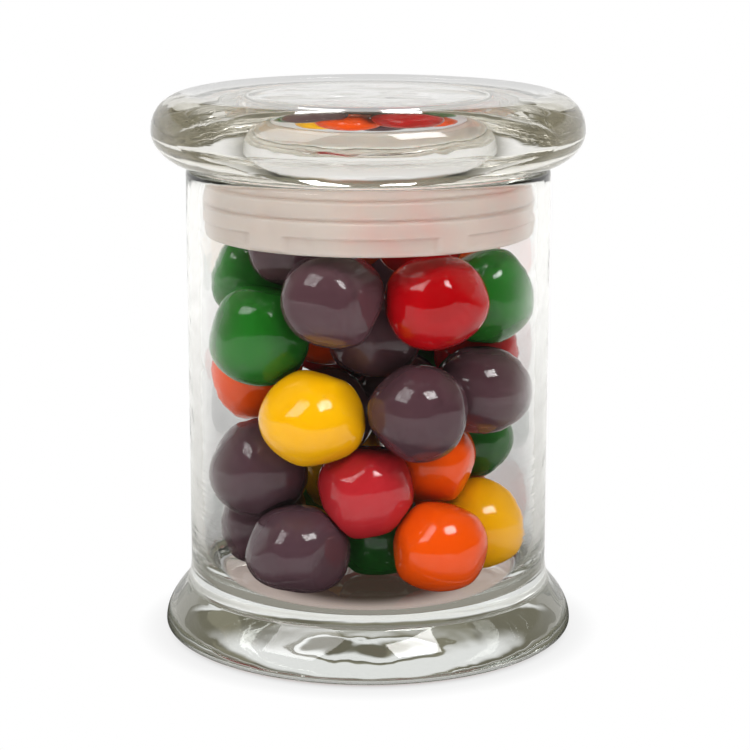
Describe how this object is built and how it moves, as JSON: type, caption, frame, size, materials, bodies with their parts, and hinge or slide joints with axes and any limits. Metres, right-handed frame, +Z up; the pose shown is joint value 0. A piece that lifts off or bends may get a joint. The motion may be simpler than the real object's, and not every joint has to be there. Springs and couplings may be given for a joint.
{
  "type": "jar of fruit sours",
  "caption": "Straight-sided clear glass jar on a spread foot, filled with glossy round chewy fruit sweets and shut by a flat glass lid with a milky seal.",
  "frame": {"origin": "centre of the ring that the jar stands on, at the base", "axes": "+Z up along the jar's axis, front towards -Y"},
  "size_m": [0.0808, 0.0808, 0.1029],
  "materials": {
    "jar_glass": "clear polished soda glass, thick and faintly grey-green at the foot",
    "lid_glass": "clear pressed glass, thick, with a rounded edge",
    "seal_plastic": "milky, half see-through soft plastic",
    "sweet_shell": "polished sugar glaze in purple, red, orange, yellow and green"
  },
  "bodies": {
    "root": {"jar": "jar_glass", "lid": "lid_glass", "seal": "seal_plastic", "sweets": "sweet_shell"}
  },
  "joints": []
}
